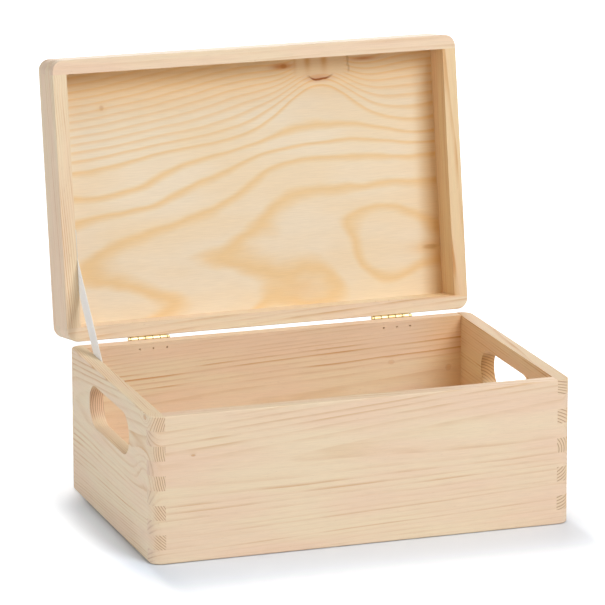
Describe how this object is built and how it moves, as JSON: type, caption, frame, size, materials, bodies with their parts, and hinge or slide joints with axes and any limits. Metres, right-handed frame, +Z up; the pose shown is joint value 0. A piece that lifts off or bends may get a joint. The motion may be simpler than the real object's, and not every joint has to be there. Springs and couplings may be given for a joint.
{
  "type": "lidded wooden box",
  "caption": "Finger-jointed pine storage box with a hand-hold in each end and a hinged lid, open and held by a ribbon.",
  "frame": {"origin": "middle of the flat underside, where the box stands", "axes": "+Z up, +X to the box's right seen from the front, +Y to the back, where the hinges are"},
  "size_m": [0.3, 0.2696, 0.2997],
  "materials": {
    "pine": "bare sanded pine",
    "plywood": "bare sanded pine plywood",
    "brass": "pressed brass, lightly polished",
    "staple_steel": "plain wire",
    "ribbon": "thin woven tape, pale grey"
  },
  "bodies": {
    "base": {"front_panel": "pine", "back_panel": "pine", "left_side_panel": "pine", "right_side_panel": "pine", "bottom_panel": "plywood", "left_hinge_base_leaf": "brass", "right_hinge_base_leaf": "brass", "left_hinge_pin": "brass", "right_hinge_pin": "brass", "left_hinge_base_nails": "brass", "right_hinge_base_nails": "brass", "stay_ribbon": "ribbon", "base_staple": "staple_steel"},
    "lid": {"lid_front_rail": "pine", "lid_back_rail": "pine", "lid_left_rail": "pine", "lid_right_rail": "pine", "lid_top_panel": "plywood", "left_hinge_lid_leaf": "brass", "right_hinge_lid_leaf": "brass", "left_hinge_lid_nails": "brass", "right_hinge_lid_nails": "brass", "lid_staple": "staple_steel"}
  },
  "joints": [
    {"name": "lid_hinge", "type": "hinge", "parent": "base", "child": "lid", "pos_m": [0, 0.1006, 0.10265], "axis": [1, 0, 0], "range_deg": [0, 99], "deforming": ["stay_ribbon"]}
  ]
}
